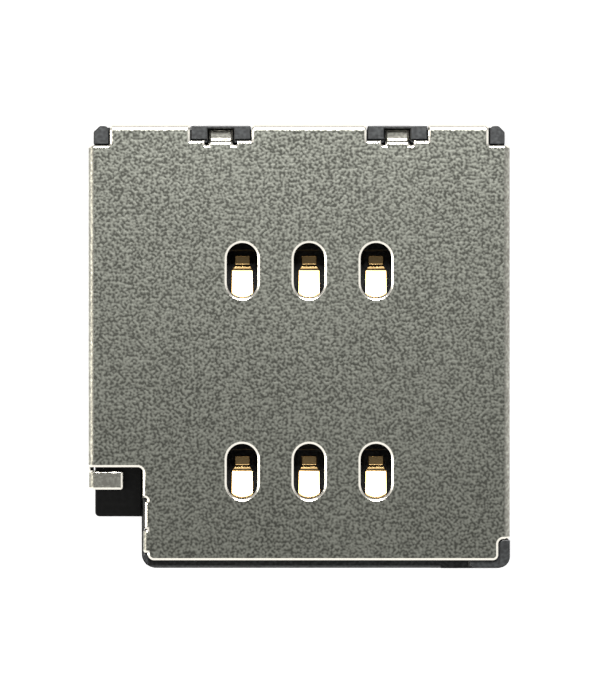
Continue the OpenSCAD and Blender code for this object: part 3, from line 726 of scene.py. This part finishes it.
def break_edges(piece, slot, width):
    """Finish, bevelled edges, flat faces and marked rims."""
    give_finish(piece, slot)
    weigh_edges(piece, width)
    bevel_edges(piece, width)
    flatten_normals(piece)
    mark_rims(piece)


def dress(node, name, body, slot, width):
    """Dressed copy of one CAD node."""
    piece = welded_copy(node, name)
    break_edges(piece, slot, width)
    hand_over(piece, body, slot, node)


dress("slider", "slider_bar", "slider", "slider_plastic", MOULD_EDGE)

# %% [markdown]
# ## Six contacts from one
# The six contacts are the same strip on a grid of three columns and two rows. One strip is moved to the
# origin, and a Geometry Nodes tree puts a copy of it on each point of a grid. The pitches are inputs of
# the tree. Realize Instances makes real faces of the copies, because the export drops instances, and the
# edges of all six are broken at once.

# %% Build the tree of the contact bank
COLUMNS, ROWS = 3, 2


def new_tree(name, inputs):
    """Geometry tree with its in and out nodes, extra named inputs, and one for the finish."""
    tree = bpy.data.node_groups.new(name, "GeometryNodeTree")
    for side in ("INPUT", "OUTPUT"):
        tree.interface.new_socket("Geometry", in_out=side, socket_type="NodeSocketGeometry")
    for label, kind in (*inputs, ("Finish", "NodeSocketMaterial")):
        tree.interface.new_socket(label, in_out="INPUT", socket_type=kind)
    tree.is_modifier = True
    return tree, tree.nodes.new("NodeGroupInput"), tree.nodes.new("NodeGroupOutput")


def close_tree(tree, given, made, shape):
    """Last nodes of a tree: real faces with the finish."""
    real = tree.nodes.new("GeometryNodeRealizeInstances")
    paint = tree.nodes.new("GeometryNodeSetMaterial")
    link(tree, shape, real.inputs["Geometry"])
    link(tree, real.outputs["Geometry"], paint.inputs["Geometry"])
    link(tree, given.outputs["Finish"], paint.inputs["Material"])
    link(tree, paint.outputs["Geometry"], made.inputs["Geometry"])


def make_bank_tree():
    """Copies of the given strip on a grid of columns and rows."""
    tree, given, made = new_tree("contact_bank", [("Column Pitch", "NodeSocketFloat"),
                                                  ("Row Pitch", "NodeSocketFloat")])
    grid = tree.nodes.new("GeometryNodeMeshGrid")
    grid.inputs["Vertices X"].default_value = COLUMNS
    grid.inputs["Vertices Y"].default_value = ROWS
    place = tree.nodes.new("GeometryNodeInstanceOnPoints")
    for pitch, side, count in (("Column Pitch", "Size X", COLUMNS), ("Row Pitch", "Size Y", ROWS)):
        span = tree.nodes.new("ShaderNodeMath")
        span.operation = "MULTIPLY"
        span.inputs[1].default_value = count - 1
        link(tree, given.outputs[pitch], span.inputs[0])
        link(tree, span.outputs["Value"], grid.inputs[side])
    link(tree, grid.outputs["Mesh"], place.inputs["Points"])
    link(tree, given.outputs["Geometry"], place.inputs["Instance"])
    close_tree(tree, given, made, place.outputs["Instances"])
    return tree


bank_tree = make_bank_tree()
print("tree:", bank_tree.name, "with", len(bank_tree.nodes), "nodes")

# %% Set out the contacts
COLUMN_PITCH = 2.54 * MM
ROW_PITCH = 7.62 * MM
STRIP_EDGE = 0.025 * MM
CONTACTS = [f"contact_c{n}" for n in (1, 2, 3, 5, 6, 7)]


def run_tree(piece, tree, values):
    """Adds the tree as a modifier, sets its inputs by identifier and applies it."""
    modifier = piece.modifiers.new(tree.name, "NODES")
    modifier.node_group = tree
    for item in tree.interface.items_tree:
        if item.in_out == "INPUT" and item.name in values:
            modifier[item.identifier] = values[item.name]
    apply_modifiers(piece)


strips = welded_copy("contact_c2", "contact_strips")
for vertex in strips.data.vertices:
    vertex.co.y -= ROW_PITCH / 2
run_tree(strips, bank_tree, {"Column Pitch": COLUMN_PITCH, "Row Pitch": ROW_PITCH,
                              "Finish": FINISHES["contact_gold"]})
break_edges(strips, "contact_gold", STRIP_EDGE)
hand_over(strips, "base", "contact_gold", *CONTACTS)

# %% [markdown]
# ## The eject spring
# The spring and the pin beside it are drawn wire on a path. The CAD wire has few sides, so both are swept
# again: a tree takes a chain of edges, makes it a curve and sweeps a circle along it.

# %% Build the wire tree


def make_wire_tree():
    """Round wire swept along the given chain of edges."""
    tree, given, made = new_tree("wire_on_path", [("Wire Diameter", "NodeSocketFloat"),
                                                  ("Wire Sides", "NodeSocketInt")])
    path = tree.nodes.new("GeometryNodeMeshToCurve")
    ring = tree.nodes.new("GeometryNodeCurvePrimitiveCircle")
    radius = tree.nodes.new("ShaderNodeMath")
    radius.operation = "MULTIPLY"
    radius.inputs[1].default_value = 0.5
    sweep = tree.nodes.new("GeometryNodeCurveToMesh")
    sweep.inputs["Fill Caps"].default_value = True
    smooth = tree.nodes.new("GeometryNodeSetShadeSmooth")
    link(tree, given.outputs["Geometry"], path.inputs["Mesh"])
    link(tree, given.outputs["Wire Diameter"], radius.inputs[0])
    link(tree, radius.outputs["Value"], ring.inputs["Radius"])
    link(tree, given.outputs["Wire Sides"], ring.inputs["Resolution"])
    link(tree, path.outputs["Curve"], sweep.inputs["Curve"])
    link(tree, ring.outputs["Curve"], sweep.inputs["Profile Curve"])
    link(tree, sweep.outputs["Mesh"], smooth.inputs["Geometry"])
    close_tree(tree, given, made, smooth.outputs["Geometry"])
    return tree


wire_tree = make_wire_tree()
print("tree:", wire_tree.name, "with", len(wire_tree.nodes), "nodes")

# %% [markdown]
# A Screw modifier could wind the spring, but not with the closed turns at its ends. So its path is a helix
# drawn point by point, inside the box of its CAD node.

# %% Wind the spring
SPRING_WIRE = 0.1 * MM
SPRING_TURNS = 14
SPRING_SIDES = 12
TURN_STEPS = 36


def path_object(name, points):
    """Object whose mesh is one chain of edges through the points."""
    mesh = bpy.data.meshes.new(name)
    mesh.from_pydata(points, [(i, i + 1) for i in range(len(points) - 1)], [])
    piece = bpy.data.objects.new(name, mesh)
    scene.collection.objects.link(piece)
    return piece


def helix_points(low, high):
    """Helix along Y that fills the box, with closed end turns."""
    axis_x, axis_z = (low.x + high.x) / 2, (low.z + high.z) / 2
    coil_r = (high.x - low.x - SPRING_WIRE) / 2
    span = high.y - low.y - SPRING_WIRE
    points = []
    for i in range(SPRING_TURNS * TURN_STEPS + 1):
        turn = i / TURN_STEPS
        if turn < 1:
            rise = SPRING_WIRE * turn
        elif turn > SPRING_TURNS - 1:
            rise = span - SPRING_WIRE * (SPRING_TURNS - turn)
        else:
            rise = SPRING_WIRE + (span - 2 * SPRING_WIRE) * (turn - 1) / (SPRING_TURNS - 2)
        angle = math.tau * turn
        points.append((axis_x + coil_r * math.cos(angle), low.y + SPRING_WIRE / 2 + rise,
                       axis_z + coil_r * math.sin(angle)))
    return points


coil_low, coil_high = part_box("eject_spring")
coil = path_object("eject_coil", helix_points(coil_low, coil_high))
run_tree(coil, wire_tree, {"Wire Diameter": SPRING_WIRE, "Wire Sides": SPRING_SIDES,
                           "Finish": FINISHES["spring_steel"]})
hand_over(coil, "base", "spring_steel", "eject_spring")

# %% [markdown]
# ## The cam pin
# The pin is a straight wire with a bent leg at each end: one is its pivot, and the other runs in the
# slider's track. The same tree sweeps it, so all it needs is another path. Its corners are drawn as short
# arcs, because wire bends round a radius.

# %% Bend the pin
PIN_BEND = 0.25 * MM
PIN_TIP_Z = 0.75 * MM
PIN_SIDES = 24
BEND_STEPS = 8


def pin_points(low, high):
    """Wire with a long leg at the rear for the pivot and a short leg at the front for the track."""
    radius = (high.x - low.x) / 2
    x, top = low.x + radius, high.z - radius
    front, rear = low.y + radius, high.y - radius
    points = [Vector((x, front, PIN_TIP_Z))]
    for centre, start in (((front + PIN_BEND), math.pi), ((rear - PIN_BEND), math.pi / 2)):
        for i in range(BEND_STEPS + 1):
            angle = start - math.pi / 2 * i / BEND_STEPS
            points.append(Vector((x, centre + PIN_BEND * math.cos(angle),
                                  top - PIN_BEND + PIN_BEND * math.sin(angle))))
    points.append(Vector((x, rear, low.z)))
    return points


pin_low, pin_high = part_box("cam_pin")
pin = path_object("cam_wire", pin_points(pin_low, pin_high))
run_tree(pin, wire_tree, {"Wire Diameter": pin_high.x - pin_low.x, "Wire Sides": PIN_SIDES,
                          "Finish": FINISHES["spring_steel"]})
hand_over(pin, "cam_pin", "spring_steel", "cam_pin")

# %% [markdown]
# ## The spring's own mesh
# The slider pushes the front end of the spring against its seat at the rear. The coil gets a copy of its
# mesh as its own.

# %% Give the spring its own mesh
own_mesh(coil)

# %% [markdown]
# ## The card switch
# Two small plated strips in the right rail close when a card is in. They are hardly seen, and are
# dressed as the slider is, with a narrower edge because the strip is thin.

# %% Dress the switch strips
SWITCH_EDGE = 0.015 * MM
dress("switch_spring", "switch_blade", "base", "contact_gold", SWITCH_EDGE)
dress("switch_terminal", "switch_post", "base", "contact_gold", SWITCH_EDGE)

# %% [markdown]
# ## The floor
# The ground of the portrait is pure white, as on a light table. A white floor alone would turn grey in the
# socket's shade, and brighter lamps would burn out the steel, so the floor gives some light of its own.
# It lies a hair below the part, so that the two never share a plane.

# %% Lay the floor
FLOOR_SIZE = 2.0
FLOOR_DROP = 0.01 * MM
FLOOR_TONE = (0.93, 0.93, 0.93, 1)
FLOOR_ROUGH = 0.8
FLOOR_GLOW = 0.7


def lay_floor():
    half, low = FLOOR_SIZE / 2, cad_box[0].z - FLOOR_DROP
    mesh = bpy.data.meshes.new("floor")
    mesh.from_pydata([(-half, -half, low), (half, -half, low), (half, half, low), (-half, half, low)], [],
                     [(0, 1, 2, 3)])
    finish = bpy.data.materials.new("pale_floor")
    finish.use_nodes = True
    shader = finish.node_tree.nodes["Principled BSDF"]
    shader.inputs["Base Color"].default_value = FLOOR_TONE
    shader.inputs["Roughness"].default_value = FLOOR_ROUGH
    shader.inputs["Emission Color"].default_value = (1, 1, 1, 1)
    shader.inputs["Emission Strength"].default_value = FLOOR_GLOW
    mesh.materials.append(finish)
    floor = bpy.data.objects.new("floor", mesh)
    scene.collection.objects.link(floor)
    return low


print("floor lies at", round(lay_floor() / MM, 3), "mm")

# %% [markdown]
# ## The dome
# Steel shows what it mirrors. Straight above, where the camera stands, the light is dim, and the flat plate
# mirrors that and looks mid grey. The rims and bends mirror the bright surroundings and shine. The world
# makes such a dome from the height of each direction. Its rear is dimmer, and its right a little too, since
# the portrait's light came from the front left.

# %% Light the dome
OVERHEAD, SURROUND = 0.06, 1.12
DOME_DARK, DOME_BRIGHT = 0.9, 0.64
REAR_START, REAR_END, REAR_SHARE = 0.1, 0.6, 0.3
RIGHT_START, RIGHT_END, RIGHT_SHARE = 0.1, 0.7, 0.95


def make_dome():
    """World light that is dim straight above and brightest at the front and left."""
    world = bpy.data.worlds.new("studio_dome")
    scene.world = world
    world.use_nodes = True
    tree = world.node_tree
    where = tree.nodes.new("ShaderNodeTexCoord")
    split = tree.nodes.new("ShaderNodeSeparateXYZ")
    link(tree, where.outputs["Generated"], split.inputs["Vector"])

    def fade(axis, start, end, start_value, end_value):
        part = tree.nodes.new("ShaderNodeMapRange")
        part.interpolation_type = "SMOOTHSTEP"
        for label, value in (("From Min", start), ("From Max", end), ("To Min", start_value),
                             ("To Max", end_value)):
            part.inputs[label].default_value = value
        link(tree, split.outputs[axis], part.inputs["Value"])
        return part.outputs["Result"]

    strength = fade("Z", DOME_BRIGHT, DOME_DARK, SURROUND, OVERHEAD)
    for share in (fade("Y", REAR_START, REAR_END, 1, REAR_SHARE),
                  fade("X", RIGHT_START, RIGHT_END, 1, RIGHT_SHARE)):
        product = tree.nodes.new("ShaderNodeMath")
        product.operation = "MULTIPLY"
        link(tree, strength, product.inputs[0])
        link(tree, share, product.inputs[1])
        strength = product.outputs["Value"]
    link(tree, strength, tree.nodes["Background"].inputs["Strength"])
    tree.nodes["Background"].inputs["Color"].default_value = (1, 1, 1, 1)
    return world


print("world:", make_dome().name)

# %% [markdown]
# ## Softboxes
# The contacts lie in deep slots, which the dome hardly reaches. A softbox in front turns their ramps white,
# and a weak one behind brings out the gold of their tips. Both would spoil the even grey of the plate, so
# light linking lets them light the contacts only. A third, behind, lifts the rear edges of cover and
# housing, and a warm one at the left lights the bend there.

# %% Place the softboxes


def softbox(name, place, size, power, color, only=None):
    """Square area light that looks at the socket, hidden from the camera; only lists the pieces it lights."""
    lamp = bpy.data.lights.new(name, "AREA")
    lamp.size = size
    lamp.energy = power
    lamp.color = color
    box = bpy.data.objects.new(name, lamp)
    box.location = place
    box.rotation_euler = (-Vector(place)).to_track_quat("-Z", "Y").to_euler()
    box.visible_camera = False
    scene.collection.objects.link(box)
    if only:
        lit = bpy.data.collections.new(name + "_lights")
        for piece in only:
            lit.objects.link(piece)
        box.light_linking.receiver_collection = lit


softbox("front_softbox", place=(0, -0.09, 0.28), size=0.2, power=1.2, color=(1, 0.98, 0.95), only=[strips])
softbox("tip_softbox", place=(0, 0.08, 0.07), size=0.03, power=0.004, color=(1, 0.95, 0.88), only=[strips])
softbox("rear_softbox", place=(0, 0.07, 0.075), size=0.05, power=0.2, color=(1, 1, 1), only=[cover, moulding])
softbox("left_softbox", place=(-0.2, 0, 0.1), size=0.1, power=0.13, color=(1, 0.94, 0.82))
scene.view_settings.view_transform = "Standard"
